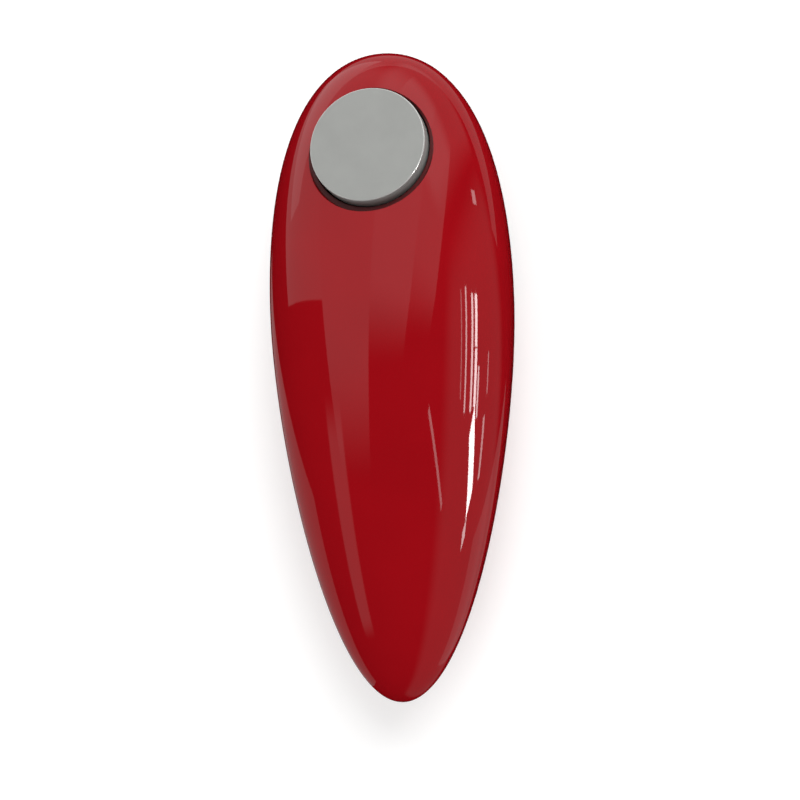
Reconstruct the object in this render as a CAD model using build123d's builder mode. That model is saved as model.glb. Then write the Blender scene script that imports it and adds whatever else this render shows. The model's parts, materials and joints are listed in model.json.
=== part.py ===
"""Hands-free battery can opener: a glossy egg-shaped body with one round button on top.

Frame: millimetres, +Z up, +Y towards the blunt head, origin under the middle of the box
that holds the body, on the surface that the flat belly rests on. The egg is parted at
SEAM_Z into two shells. Four cells lie in the tail half. A motor, a worm and two gear
stages turn the drive wheel under the head, and a slipping clutch swings the cutter in.
"""

from build123d import *
import os
from math import acos, atan2, cos, degrees, pi, radians, sin, sqrt, tan

os.makedirs("parts", exist_ok=True)

# Body
LENGTH = 170.0
HALF_WIDTH = 32.5
WIDEST_Y = 19.0  # where the egg is widest
HEAD_PULL = 17.0  # how blunt the head end is
TAIL_PULL = 19.0  # how blunt the tail end is
HEAD_SHOULDER = 0.727  # share of the way to the head tip that stays full
TAIL_SHOULDER = 0.346
SEAM_Z = 28.5
TOP_RISE = 21.0  # crown above the seam
BELLY_DEPTH = 33.0  # belly below the seam, before it is cut flat at z = 0
WALL = 2.2
SEAM_GAP = 0.6
GASKET_INSET = 0.5

# Head recess and the plate that closes it
RECESS_Y = 20.0
RECESS_Z = 12.0
PLATE_TOP = 14.5
PLATE_GAP = 0.15
STEP_WALL_TOP = 24.0

# Button
BUTTON_Y = 58.5
BUTTON_TILT = 11.5  # degrees, leaning towards the head
BUTTON_FACE = 0.2  # face above the crown's tangent plane
BUTTON_RADIUS = 15.1
BUTTON_HOLE = 15.5
POCKET_RADIUS = 17.0
POCKET_FLOOR = -3.4
SKIRT_BORE = 13.9
SKIRT_BOTTOM = -5.0
CAP_THICKNESS = 1.6
EDGE_RADIUS = 0.3
HOOK_BOTTOM = -7.4
HOOK_WIDTH = 4.0
COLLAR_DEPTH = 6.5
BUTTON_TRAVEL = 1.6
BOSS_BOTTOM = -4.2  # underside of the boss that pushes the switch
BOARD_TOP = -8.0
BOARD_THICKNESS = 1.2
SWITCH_HEIGHT = 2.0
STEM_RADIUS = 1.6

# Cells, AA size
CELL_RADIUS = 7.1
CELL_BODY = 49.2
CELL_NUB = 1.2
CELL_X = 7.4
CELL_ROWS = (15.2, 29.9)
CELL_FRONT = 14.0
CRADLE_FRONT = 15.8
CRADLE_TAIL = -39.6
CRADLE_WALL = 1.4
CRADLE_HALF = 16.2

# Battery cover
COVER_HALF = 15.4
COVER_FRONT = 16.4
COVER_TAIL = -40.4
COVER_GAP = 0.3

# Motor, lying along Y
MOTOR_Z = 30.5
MOTOR_FRONT = 44.3
MOTOR_BACK = 20.8
MOTOR_WIDTH = 20.4
MOTOR_HEIGHT = 15.4
SHAFT_RADIUS = 1.0

# Gears
PRESSURE_ANGLE = radians(20)
ADDENDUM = 0.9
DEDENDUM = 1.25
BACKLASH = 0.2
CENTRE_PLAY = 0.05
FINE = 0.6  # module of the first stage
COARSE = 0.8  # module of the other stages
WORM_PITCH_RADIUS = 2.75
WORM_TIP = 3.3
WORM_ROOT = 2.0
WORM_LENGTH = 11.0
WORM_WHEEL_TEETH = 28
PINION_TEETH = 10
WHEEL_TEETH = 32
SPINDLE_TEETH = 16
CLUTCH_TEETH = 28
AXLE_RADIUS = 1.0
SPINDLE_RADIUS = 2.5
CARRIER_RADIUS = 3.0
RUNNING_GAP = 0.05

# Gear layers, bottom and top
CLUTCH_LAYER = (14.8, 17.4)
FINAL_LAYER = (18.2, 22.0)
MIDPLATE = (22.4, 23.4)
SECOND_LAYER = (23.8, 26.8)
WORM_WHEEL_LAYER = (29.0, 32.0)
TOP_BRIDGE = (34.3, 35.5)


def polar(centre, radius, angle):
    """Point at a distance and an angle in degrees from a centre."""
    return (centre[0] + radius * cos(radians(angle)), centre[1] + radius * sin(radians(angle)))


def bearing(start, end):
    """Direction in degrees from one point to another."""
    return degrees(atan2(end[1] - start[1], end[0] - start[0]))


# Shaft centres in plan
SPINDLE = (0.0, 52.0)
SECOND_SHAFT = polar(SPINDLE, COARSE * (PINION_TEETH + WHEEL_TEETH) / 2 + CENTRE_PLAY, 57.5)
FIRST_X = WORM_PITCH_RADIUS + FINE * WORM_WHEEL_TEETH / 2 + CENTRE_PLAY
FIRST_REACH = FINE * (PINION_TEETH + WHEEL_TEETH) / 2 + CENTRE_PLAY
FIRST_DROP = sqrt(FIRST_REACH**2 - (FIRST_X - SECOND_SHAFT[0]) ** 2)
FIRST_SHAFT = (FIRST_X, SECOND_SHAFT[1] - FIRST_DROP)
CARRIER = polar(SPINDLE, COARSE * (SPINDLE_TEETH + CLUTCH_TEETH) / 2 + CENTRE_PLAY, -58.5)

# Cutter
CUTTER_RADIUS = 8.0
CUTTER_Z = 8.5
CUTTER_THICKNESS = 1.0
CUTTER_REACH = 9.2
CUTTER_SWING = 60.0  # from working to open
WORKING_ANGLE = bearing(CARRIER, (0.0, 37.5))
CUTTER = polar(CARRIER, CUTTER_REACH, WORKING_ANGLE + CUTTER_SWING)
DRIVE_RADIUS = 5.5
DRIVE_TEETH = 24
DRIVE_BOTTOM = 6.0
DRIVE_HEIGHT = 4.4
NUT_HEIGHT = 1.6
ARM_LAYER = (9.4, 11.4)

# Posts of the gearbox and screws
POSTS = ((20.5, 46.5), (-17.5, 55.0), (-4.5, 70.5))
POST_RADIUS = 2.2
LUG_RADIUS = 3.2
SHELL_SCREWS = ((21.5, 8.0, 11.0), (-21.5, 8.0, 11.0), (0.0, -62.0, 16.5))
SHELL_SCREW_LENGTH = 20.0
PLATE_SCREWS = ((20.5, 24.5), (-20.5, 24.5), (13.0, 62.0), (-13.0, 62.0))
REAR_BOSS_TOP = 22.0
FRONT_BOSS_TOP = 17.8
BOSS_RADIUS = 4.0
PLATE_BOSS_RADIUS = 2.8
MAGNET = (0.0, 63.5)
MAGNET_RADIUS = 4.6
MAGNET_CUP_RADIUS = 5.4


def half_plan(inset):
    """Plan outline of the egg right of its long axis, shrunk evenly by inset."""
    tip = LENGTH / 2 - inset
    half = HALF_WIDTH - inset
    shrink = half / HALF_WIDTH
    head_shoulder = WIDEST_Y + (tip - WIDEST_Y) * HEAD_SHOULDER
    tail_shoulder = WIDEST_Y - (tip + WIDEST_Y) * TAIL_SHOULDER
    with BuildSketch(Plane.XY) as plan:
        with BuildLine():
            Bezier((0, tip), (HEAD_PULL * shrink, tip), (half, head_shoulder), (half, WIDEST_Y))
            Bezier((half, WIDEST_Y), (half, tail_shoulder), (TAIL_PULL * shrink, -tip), (0, -tip))
            Line((0, -tip), (0, tip))
        make_face()
    return plan.sketch


def egg_plan(inset):
    """Whole plan outline of the egg."""
    with BuildSketch(Plane.XY) as plan:
        add(half_plan(inset))
        mirror(about=Plane.YZ)
    return plan.sketch


def egg_half(inset, upper):
    """Solid half of the egg above or below the seam, shrunk evenly by inset."""
    with BuildPart() as turned_half:
        add(half_plan(inset))
        revolve(axis=Axis.Y, revolution_arc=-180 if upper else 180)
    rise = (TOP_RISE if upper else BELLY_DEPTH) - inset
    return Pos(0, 0, SEAM_Z) * scale(turned_half.part, by=(1, 1, rise / (HALF_WIDTH - inset)))


def belly(inset):
    """Lower half of the egg with its underside cut flat at the inset."""
    return split(egg_half(inset, False), bisect_by=Plane.XY.offset(inset), keep=Keep.TOP)


def turned(centre, *steps):
    """Round part on a vertical axis, from (radius, bottom, top) steps."""
    with BuildPart() as made:
        for radius, bottom, top in steps:
            with BuildSketch(Plane.XY.offset(bottom)):
                with Locations(centre):
                    Circle(radius)
            extrude(amount=top - bottom)
    return made.part


def block(centre, width, depth, bottom, top):
    """Upright block from its centre in plan."""
    with BuildPart() as made:
        with BuildSketch(Plane.XY.offset(bottom)):
            with Locations(centre):
                Rectangle(width, depth)
        extrude(amount=top - bottom)
    return made.part


def screw(centre, seat, head_radius, head_height, shank_radius, length):
    """Cross-head screw driven upwards: the head is under its seat, the shank above."""
    with BuildPart() as made:
        add(turned(centre, (head_radius, seat - head_height, seat), (shank_radius, seat, seat + length)))
        with BuildSketch(Plane.XY.offset(seat - head_height)):
            with Locations(centre):
                Rectangle(head_radius * 1.3, head_radius * 0.3)
                Rectangle(head_radius * 0.3, head_radius * 1.3)
        extrude(amount=head_height * 0.6, mode=Mode.SUBTRACT)
    return made.part


def involute(angle):
    """Involute function of a pressure angle."""
    return tan(angle) - angle


def tooth_half_angle(radius, pitch_radius, teeth):
    """Half of a tooth's angle at a radius, thinned by the backlash."""
    base_radius = pitch_radius * cos(PRESSURE_ANGLE)
    pressure = acos(min(1.0, base_radius / radius))
    half_at_pitch = pi / (2 * teeth) - BACKLASH / (2 * pitch_radius)
    return half_at_pitch + involute(PRESSURE_ANGLE) - involute(pressure)


def gear(centre, teeth, module, facing, layer):
    """Spur gear with one tooth pointing along facing, in degrees."""
    pitch_radius = teeth * module / 2
    root = pitch_radius - DEDENDUM * module
    tip = pitch_radius + ADDENDUM * module
    flank = (root, max(root, pitch_radius * cos(PRESSURE_ANGLE)), pitch_radius, tip)
    outline = []
    for tooth in range(teeth):
        middle = facing + tooth * 360 / teeth
        for radius in flank:
            turn = degrees(tooth_half_angle(radius, pitch_radius, teeth))
            outline.append(polar(centre, radius, middle - turn))
        for radius in reversed(flank):
            turn = degrees(tooth_half_angle(radius, pitch_radius, teeth))
            outline.append(polar(centre, radius, middle + turn))
    points = [point for index, point in enumerate(outline) if point != outline[index - 1]]
    with BuildPart() as made:
        with BuildSketch(Plane.XY.offset(layer[0])):
            with BuildLine():
                Polyline(*points, close=True)
            make_face()
        extrude(amount=layer[1] - layer[0])
    return made.part


def gap_facing(centre, other, teeth):
    """Tooth direction that leaves a tooth gap facing another shaft."""
    return bearing(centre, other) + 180 / teeth


def bridge_plate(centres, layer):
    """Flat plate around a ring of lugs."""
    with BuildPart() as made:
        with BuildSketch(Plane.XY.offset(layer[0])):
            with Locations(*centres):
                Circle(LUG_RADIUS)
            make_hull()
        extrude(amount=layer[1] - layer[0])
    return made.part


# The button's own frame: its axis leans towards the head, z = 0 touches the crown.
def crown_height(inset):
    """Height of the crown above the button's centre line."""
    outline_half = 27.45
    return SEAM_Z + (outline_half - inset) * (TOP_RISE - inset) / (HALF_WIDTH - inset)


BUTTON_AXIS = (0, sin(radians(BUTTON_TILT)), cos(radians(BUTTON_TILT)))
BUTTON_PLANE = Plane(origin=(0, BUTTON_Y, crown_height(0)), x_dir=(1, 0, 0), z_dir=BUTTON_AXIS)


def button_disc(outer, bottom, top, inner=0.0):
    """Disc or ring about the button's axis."""
    with BuildPart() as made:
        with BuildSketch(BUTTON_PLANE.offset(bottom)):
            Circle(outer)
            if inner:
                Circle(inner, mode=Mode.SUBTRACT)
        extrude(amount=top - bottom)
    return made.part


# ---------------------------------------------------------------- shells

seam_slab = block((0, 0), LENGTH, 2 * LENGTH, SEAM_Z - SEAM_GAP / 2, SEAM_Z + SEAM_GAP / 2)
upper_outside = egg_half(0, True)
upper_inside = egg_half(WALL, True)
upper_room = egg_half(WALL / 2, True)
lower_outside = belly(0)
lower_inside = belly(WALL)
lower_room = belly(WALL / 2)
upper_fittings = [turned((x, y), (BOSS_RADIUS, SEAM_Z, SEAM_Z + TOP_RISE)) for x, y, seat in SHELL_SCREWS]
upper_fittings.append(button_disc(POCKET_RADIUS, -COLLAR_DEPTH, 3.0))

with BuildPart() as upper_shell:
    add(upper_outside)
    add(upper_inside, mode=Mode.SUBTRACT)
    for fitting in upper_fittings:
        add(fitting & upper_room)
    add(seam_slab, mode=Mode.SUBTRACT)
    add(button_disc(POCKET_RADIUS, POCKET_FLOOR, 5.0), mode=Mode.SUBTRACT)
    add(button_disc(BUTTON_HOLE, -3 * COLLAR_DEPTH, 5.0), mode=Mode.SUBTRACT)
    for x, y, seat in SHELL_SCREWS:
        add(turned((x, y), (1.4, SEAM_Z - 1, seat + SHELL_SCREW_LENGTH + 1)), mode=Mode.SUBTRACT)
upper_shell.part.label = "upper_shell"
export_step(upper_shell.part, "parts/upper_shell.step")

with BuildPart() as cover_prism:
    with BuildSketch(Plane.XY.offset(-1)):
        with Locations((0, (COVER_FRONT + COVER_TAIL) / 2)):
            RectangleRounded(2 * COVER_HALF, COVER_FRONT - COVER_TAIL, 4)
    extrude(amount=17)

with BuildPart() as cover_window:
    with BuildSketch(Plane.XY.offset(-1)):
        with Locations((0, (COVER_FRONT + COVER_TAIL) / 2)):
            RectangleRounded(2 * COVER_HALF + 2 * COVER_GAP, COVER_FRONT - COVER_TAIL + 2 * COVER_GAP, 4.3)
    extrude(amount=17)

lower_fittings = [turned((x, y), (BOSS_RADIUS, 0, SEAM_Z)) for x, y, seat in SHELL_SCREWS]
lower_fittings.append(block((0, RECESS_Y - WALL / 2), 2 * HALF_WIDTH, WALL, 0, STEP_WALL_TOP))
for x, y in PLATE_SCREWS[:2]:
    lower_fittings.append(turned((x, y), (PLATE_BOSS_RADIUS, PLATE_TOP, REAR_BOSS_TOP)))
    rib = ((x, (RECESS_Y + y) / 2), 2 * PLATE_BOSS_RADIUS, y - RECESS_Y)
    lower_fittings.append(block(*rib, PLATE_TOP, REAR_BOSS_TOP))
for x, y in PLATE_SCREWS[2:]:
    lower_fittings.append(turned((x, y), (PLATE_BOSS_RADIUS, PLATE_TOP, FRONT_BOSS_TOP)))
    rib = ((1.4 * x, y), 0.8 * abs(x), 2 * PLATE_BOSS_RADIUS)
    lower_fittings.append(block(*rib, PLATE_TOP, FRONT_BOSS_TOP))

with BuildPart() as lower_shell:
    add(lower_outside)
    add(lower_inside, mode=Mode.SUBTRACT)
    with BuildSketch(Plane.XY):
        with Locations((0, RECESS_Y + LENGTH / 2)):
            Rectangle(LENGTH, LENGTH)
    extrude(amount=RECESS_Z, mode=Mode.SUBTRACT)
    for fitting in lower_fittings:
        add(fitting & lower_room)
    add(seam_slab, mode=Mode.SUBTRACT)
    add(cover_window.part, mode=Mode.SUBTRACT)
    for x, y, seat in SHELL_SCREWS:
        add(turned((x, y), (3.0, -1, seat), (1.5, seat, SEAM_Z)), mode=Mode.SUBTRACT)
    for x, y in PLATE_SCREWS:
        add(turned((x, y), (1.0, PLATE_TOP, FRONT_BOSS_TOP)), mode=Mode.SUBTRACT)
lower_shell.part.label = "lower_shell"
export_step(lower_shell.part, "parts/lower_shell.step")

with BuildPart() as seam_gasket:
    with BuildSketch(Plane.XY.offset(SEAM_Z - SEAM_GAP / 2)):
        add(egg_plan(GASKET_INSET))
        add(egg_plan(WALL), mode=Mode.SUBTRACT)
    extrude(amount=SEAM_GAP)
seam_gasket.part.label = "seam_gasket"
export_step(seam_gasket.part, "parts/seam_gasket.step")

with BuildPart() as shell_screws:
    for x, y, seat in SHELL_SCREWS:
        add(screw((x, y), seat, 2.7, 1.8, 1.4, SHELL_SCREW_LENGTH))
shell_screws.part.label = "shell_screws"
export_step(shell_screws.part, "parts/shell_screws.step")

# ---------------------------------------------------------------- battery cover

RIB_TOP = CELL_ROWS[0] - CELL_RADIUS - 0.3
cover_ribs = [block((0, y), 2 * COVER_HALF - 5, 1.6, WALL / 2, RIB_TOP) for y in (-30.0, -12.0, 6.0)]

with BuildPart() as battery_cover:
    add(lower_outside)
    add(lower_inside, mode=Mode.SUBTRACT)
    add(cover_prism.part, mode=Mode.INTERSECT)
    for rib in cover_ribs:
        add(rib & lower_room)
    with BuildSketch(Plane.XY):
        with Locations((0, COVER_FRONT - 5)):
            with GridLocations(0, 2.4, 1, 3):
                SlotOverall(14, 1.2)
    extrude(amount=0.7, mode=Mode.SUBTRACT)
battery_cover.part.label = "battery_cover"
export_step(battery_cover.part, "parts/battery_cover.step")

# ---------------------------------------------------------------- button

CAP_UNDERSIDE = BUTTON_FACE - CAP_THICKNESS
PLUNGER_UNDERSIDE = CAP_UNDERSIDE - 1.0

with BuildPart() as button_cap:
    add(button_disc(BUTTON_RADIUS, CAP_UNDERSIDE, BUTTON_FACE))
    add(button_disc(BUTTON_RADIUS, SKIRT_BOTTOM, CAP_UNDERSIDE, SKIRT_BORE))
    face = button_cap.faces().sort_by(Axis(BUTTON_PLANE.origin, BUTTON_AXIS))[-1]
    fillet(face.edges(), EDGE_RADIUS)
button_cap.part.label = "button_cap"
export_step(button_cap.part, "parts/button_cap.step")

with BuildPart() as button_plunger:
    add(button_disc(SKIRT_BORE, PLUNGER_UNDERSIDE, CAP_UNDERSIDE))
    add(button_disc(2.6, BOSS_BOTTOM, PLUNGER_UNDERSIDE))
    with BuildSketch(BUTTON_PLANE.offset(HOOK_BOTTOM)):
        with Locations((13.1, 0), (-13.1, 0)):
            Rectangle(1.2, HOOK_WIDTH)
    extrude(amount=PLUNGER_UNDERSIDE - HOOK_BOTTOM)
    with BuildSketch(BUTTON_PLANE.offset(HOOK_BOTTOM)):
        with Locations((14.6, 0), (-14.6, 0)):
            Rectangle(3.6, HOOK_WIDTH)
    extrude(amount=0.8)
button_plunger.part.label = "button_plunger"
export_step(button_plunger.part, "parts/button_plunger.step")

with BuildPart() as button_spring:
    with BuildLine():
        coil = Helix(1.3, 4.7, 5.9, BUTTON_PLANE.offset(BOARD_TOP + 0.4).origin, BUTTON_AXIS)
    with BuildSketch(Plane(origin=coil @ 0, z_dir=coil % 0)):
        Circle(0.3)
    sweep(is_frenet=True)
button_spring.part.label = "button_spring"
export_step(button_spring.part, "parts/button_spring.step")

with BuildPart() as switch_stem:
    add(button_disc(STEM_RADIUS, BOARD_TOP + BUTTON_TRAVEL + 0.1, BOSS_BOTTOM))
switch_stem.part.label = "switch_stem"
export_step(switch_stem.part, "parts/switch_stem.step")

with BuildPart() as switch_body:
    with BuildSketch(BUTTON_PLANE.offset(BOARD_TOP)):
        Rectangle(6.2, 6.2)
    extrude(amount=SWITCH_HEIGHT)
    add(button_disc(STEM_RADIUS + 0.1, BOARD_TOP, BOARD_TOP + SWITCH_HEIGHT), mode=Mode.SUBTRACT)
switch_body.part.label = "switch_body"
export_step(switch_body.part, "parts/switch_body.step")

with BuildPart() as switch_board:
    with BuildSketch(BUTTON_PLANE.offset(BOARD_TOP - BOARD_THICKNESS)):
        RectangleRounded(19, 13.4, 1.5)
        with Locations((7.6, 0), (-7.6, 0)):
            Circle(0.8, mode=Mode.SUBTRACT)
    extrude(amount=BOARD_THICKNESS)
switch_board.part.label = "switch_board"
export_step(switch_board.part, "parts/switch_board.step")

# ---------------------------------------------------------------- cells and their cradle

for row, row_z in enumerate(CELL_ROWS):
    for side in (-1, 1):
        number = 1 + 2 * row + (side + 1) // 2
        nub_forward = number in (1, 4)
        back = CELL_FRONT - CELL_BODY - (CELL_NUB if nub_forward else 0)
        nub_start = CELL_FRONT - CELL_NUB if nub_forward else back - CELL_NUB
        with BuildPart() as cell:
            with BuildSketch(Plane(origin=(side * CELL_X, back, row_z), z_dir=(0, 1, 0))):
                Circle(CELL_RADIUS)
            extrude(amount=CELL_BODY)
            with BuildSketch(Plane(origin=(side * CELL_X, nub_start, row_z), z_dir=(0, 1, 0))):
                Circle(2.6)
            extrude(amount=CELL_NUB)
        cell.part.label = f"cell_{number}"
        export_step(cell.part, f"parts/cell_{number}.step")

CRADLE_TOP = CELL_ROWS[1] + 5.0
with BuildPart() as battery_cradle:
    add(block((0, CRADLE_FRONT + CRADLE_WALL / 2), 2 * CRADLE_HALF, CRADLE_WALL, 5.0, CRADLE_TOP))
    add(block((0, CRADLE_TAIL - CRADLE_WALL / 2), 2 * CRADLE_HALF, CRADLE_WALL, 14.0, CRADLE_TOP))
    length = CRADLE_FRONT - CRADLE_TAIL + 2 * CRADLE_WALL
    middle = (CRADLE_FRONT + CRADLE_TAIL) / 2
    for side in (-1, 1):
        wall_x = side * (CRADLE_HALF - CRADLE_WALL / 2)
        add(block((wall_x, middle), CRADLE_WALL, length, 17.0, CRADLE_TOP))
battery_cradle.part.label = "battery_cradle"
export_step(battery_cradle.part, "parts/battery_cradle.step")

with BuildPart() as contact_plates:
    for row_z in CELL_ROWS:
        for face_y in (CRADLE_FRONT - 0.4, CRADLE_TAIL):
            with BuildSketch(Plane(origin=(0, face_y, row_z), x_dir=(1, 0, 0), z_dir=(0, 1, 0))):
                with Locations((CELL_X, 0), (-CELL_X, 0)):
                    RectangleRounded(10, 8, 1)
            extrude(amount=0.4)
contact_plates.part.label = "contact_plates"
export_step(contact_plates.part, "parts/contact_plates.step")


def contact_spring(number):
    """Cell contact spring on the cradle wall behind a cell's flat end."""
    side = 1 if number % 2 == 0 else -1
    toward_tail = number in (1, 4)
    foot = CRADLE_TAIL + 0.7 if toward_tail else CRADLE_FRONT - 0.7
    cell_end = CELL_FRONT - CELL_BODY - CELL_NUB if toward_tail else CELL_FRONT
    reach = abs(cell_end - foot) - 0.3
    aim = (0, 1 if toward_tail else -1, 0)
    with BuildPart() as made:
        with BuildLine():
            coil = Helix(reach / 3, reach, 3.4, (side * CELL_X, foot, CELL_ROWS[(number - 1) // 2]), aim)
        with BuildSketch(Plane(origin=coil @ 0, z_dir=coil % 0)):
            Circle(0.25)
        sweep(is_frenet=True)
    return made.part


with BuildPart() as contact_springs:
    for number in range(1, 5):
        add(contact_spring(number))
contact_springs.part.label = "contact_springs"
export_step(contact_springs.part, "parts/contact_springs.step")

# ---------------------------------------------------------------- motor

with BuildPart() as motor_can:
    with BuildSketch(Plane(origin=(0, MOTOR_BACK + 3, MOTOR_Z), x_dir=(1, 0, 0), z_dir=(0, 1, 0))):
        Circle(MOTOR_WIDTH / 2)
        Rectangle(MOTOR_WIDTH, MOTOR_HEIGHT, mode=Mode.INTERSECT)
    extrude(amount=MOTOR_FRONT - MOTOR_BACK - 3)
    with BuildSketch(Plane(origin=(0, MOTOR_BACK + 3, MOTOR_Z), x_dir=(1, 0, 0), z_dir=(0, 1, 0))):
        Circle(MOTOR_WIDTH / 2 - 0.7)
        Rectangle(MOTOR_WIDTH, MOTOR_HEIGHT - 1.4, mode=Mode.INTERSECT)
    extrude(amount=MOTOR_FRONT - MOTOR_BACK - 4, mode=Mode.SUBTRACT)
    with BuildSketch(Plane(origin=(0, MOTOR_FRONT, MOTOR_Z), z_dir=(0, 1, 0))):
        Circle(3.0)
    extrude(amount=1.6)
    with BuildSketch(Plane(origin=(0, MOTOR_FRONT - 2, MOTOR_Z), z_dir=(0, 1, 0))):
        Circle(SHAFT_RADIUS + RUNNING_GAP)
    extrude(amount=5, mode=Mode.SUBTRACT)
motor_can.part.label = "motor_can"
export_step(motor_can.part, "parts/motor_can.step")

with BuildPart() as motor_magnets:
    with BuildSketch(Plane(origin=(0, MOTOR_BACK + 5, MOTOR_Z), x_dir=(1, 0, 0), z_dir=(0, 1, 0))):
        Circle(MOTOR_WIDTH / 2 - 0.7)
        Rectangle(MOTOR_WIDTH, MOTOR_HEIGHT - 4, mode=Mode.INTERSECT)
        Circle(7.3, mode=Mode.SUBTRACT)
    extrude(amount=14)
motor_magnets.part.label = "motor_magnets"
export_step(motor_magnets.part, "parts/motor_magnets.step")

with BuildPart() as motor_end_cap:
    with BuildSketch(Plane(origin=(0, MOTOR_BACK, MOTOR_Z), x_dir=(1, 0, 0), z_dir=(0, 1, 0))):
        Circle(MOTOR_WIDTH / 2)
        Rectangle(MOTOR_WIDTH, MOTOR_HEIGHT, mode=Mode.INTERSECT)
    extrude(amount=3)
    with BuildSketch(Plane(origin=(0, MOTOR_BACK + 1, MOTOR_Z), z_dir=(0, 1, 0))):
        Circle(SHAFT_RADIUS + RUNNING_GAP)
    extrude(amount=3, mode=Mode.SUBTRACT)
motor_end_cap.part.label = "motor_end_cap"
export_step(motor_end_cap.part, "parts/motor_end_cap.step")

with BuildPart() as motor_terminals:
    with BuildSketch(Plane(origin=(0, MOTOR_BACK, MOTOR_Z), x_dir=(1, 0, 0), z_dir=(0, -1, 0))):
        with Locations((7.5, 0), (-7.5, 0)):
            Rectangle(0.4, 2.4)
    extrude(amount=2.2)
motor_terminals.part.label = "motor_terminals"
export_step(motor_terminals.part, "parts/motor_terminals.step")

with BuildPart() as motor_shaft:
    with BuildSketch(Plane(origin=(0, MOTOR_BACK + 1.4, MOTOR_Z), z_dir=(0, 1, 0))):
        Circle(SHAFT_RADIUS)
    extrude(amount=FIRST_SHAFT[1] + WORM_LENGTH / 2 + 0.5 - MOTOR_BACK - 1.4)
motor_shaft.part.label = "motor_shaft"
export_step(motor_shaft.part, "parts/motor_shaft.step")

with BuildPart() as motor_armature:
    with BuildSketch(Plane(origin=(0, MOTOR_BACK + 6.5, MOTOR_Z), z_dir=(0, 1, 0))):
        Circle(6.7)
        with PolarLocations(4.6, 3, start_angle=30):
            Circle(1.9, mode=Mode.SUBTRACT)
        with PolarLocations(6.7, 3, start_angle=30):
            Rectangle(3.0, 1.2, mode=Mode.SUBTRACT)
        Circle(SHAFT_RADIUS, mode=Mode.SUBTRACT)
    extrude(amount=11)
    with BuildSketch(Plane(origin=(0, MOTOR_BACK + 3.5, MOTOR_Z), z_dir=(0, 1, 0))):
        Circle(2.6)
        Circle(SHAFT_RADIUS, mode=Mode.SUBTRACT)
    extrude(amount=3)
motor_armature.part.label = "motor_armature"
export_step(motor_armature.part, "parts/motor_armature.step")

WORM_PITCH = pi * FINE
THREAD_LENGTH = 5 * WORM_PITCH
THREAD_START = FIRST_SHAFT[1] - 2.75 * WORM_PITCH  # leaves a tooth gap facing the wheel

with BuildPart() as worm:
    with BuildSketch(Plane(origin=(0, FIRST_SHAFT[1] - WORM_LENGTH / 2, MOTOR_Z), z_dir=(0, 1, 0))):
        Circle(WORM_ROOT)
        Circle(SHAFT_RADIUS, mode=Mode.SUBTRACT)
    extrude(amount=WORM_LENGTH)
    with BuildLine():
        crest = Helix(WORM_PITCH, THREAD_LENGTH, WORM_ROOT - 0.1, (0, THREAD_START, MOTOR_Z), (0, 1, 0))
    start = crest @ 0
    outward = Vector(start.X, 0, start.Z - MOTOR_Z)
    with BuildSketch(Plane(origin=start, x_dir=outward, z_dir=crest % 0)):
        with BuildLine():
            Polyline((0, -0.4), (WORM_TIP - WORM_ROOT + 0.1, -0.18), (WORM_TIP - WORM_ROOT + 0.1, 0.18),
                     (0, 0.4), close=True)
        make_face()
    sweep(is_frenet=True)
worm.part.label = "worm"
export_step(worm.part, "parts/worm.step")

with BuildPart() as motor_saddle:
    add(block((0, MOTOR_BACK + 1.8), 25.0, 2.6, PLATE_TOP, MOTOR_Z))
    with BuildSketch(Plane(origin=(0, MOTOR_BACK - 1, MOTOR_Z), x_dir=(1, 0, 0), z_dir=(0, 1, 0))):
        Circle(MOTOR_WIDTH / 2)
        Rectangle(MOTOR_WIDTH, MOTOR_HEIGHT, mode=Mode.INTERSECT)
    extrude(amount=8, mode=Mode.SUBTRACT)
motor_saddle.part.label = "motor_saddle"
export_step(motor_saddle.part, "parts/motor_saddle.step")

with BuildPart() as motor_strap:
    with BuildSketch(Plane(origin=(0, MOTOR_BACK + 0.7, MOTOR_Z), x_dir=(1, 0, 0), z_dir=(0, 1, 0))):
        Rectangle(26.6, MOTOR_HEIGHT + 1.6)
        Rectangle(25.0, MOTOR_HEIGHT, mode=Mode.SUBTRACT)
        with Locations((0, 10.5)):
            Rectangle(30, 8, mode=Mode.SUBTRACT)
    extrude(amount=2.2)
motor_strap.part.label = "motor_strap"
export_step(motor_strap.part, "parts/motor_strap.step")

# ---------------------------------------------------------------- mechanism plate

plate_room = egg_half(WALL + PLATE_GAP, False)

with BuildPart() as mechanism_plate:
    add(block((0, RECESS_Y + 31), 62, 61.6, RECESS_Z, PLATE_TOP) & plate_room)
    for centre, radius in ((SPINDLE, 4.0), (CARRIER, 4.4)):
        add(turned(centre, (radius, RECESS_Z, PLATE_TOP)), mode=Mode.SUBTRACT)
    for centre in PLATE_SCREWS + POSTS:
        add(turned(centre, (2.0, RECESS_Z, RECESS_Z + 1.1), (1.1, RECESS_Z, PLATE_TOP)), mode=Mode.SUBTRACT)
    add(turned(SECOND_SHAFT, (AXLE_RADIUS, RECESS_Z + 0.8, PLATE_TOP)), mode=Mode.SUBTRACT)
mechanism_plate.part.label = "mechanism_plate"
export_step(mechanism_plate.part, "parts/mechanism_plate.step")

with BuildPart() as plate_screws:
    for centre in PLATE_SCREWS:
        add(screw(centre, RECESS_Z + 1.1, 1.9, 1.1, 1.0, 4.5))
plate_screws.part.label = "plate_screws"
export_step(plate_screws.part, "parts/plate_screws.step")

with BuildPart() as gearbox_screws:
    for centre in POSTS:
        add(screw(centre, RECESS_Z + 1.1, 1.9, 1.1, 1.0, 7.0))
gearbox_screws.part.label = "gearbox_screws"
export_step(gearbox_screws.part, "parts/gearbox_screws.step")

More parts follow.
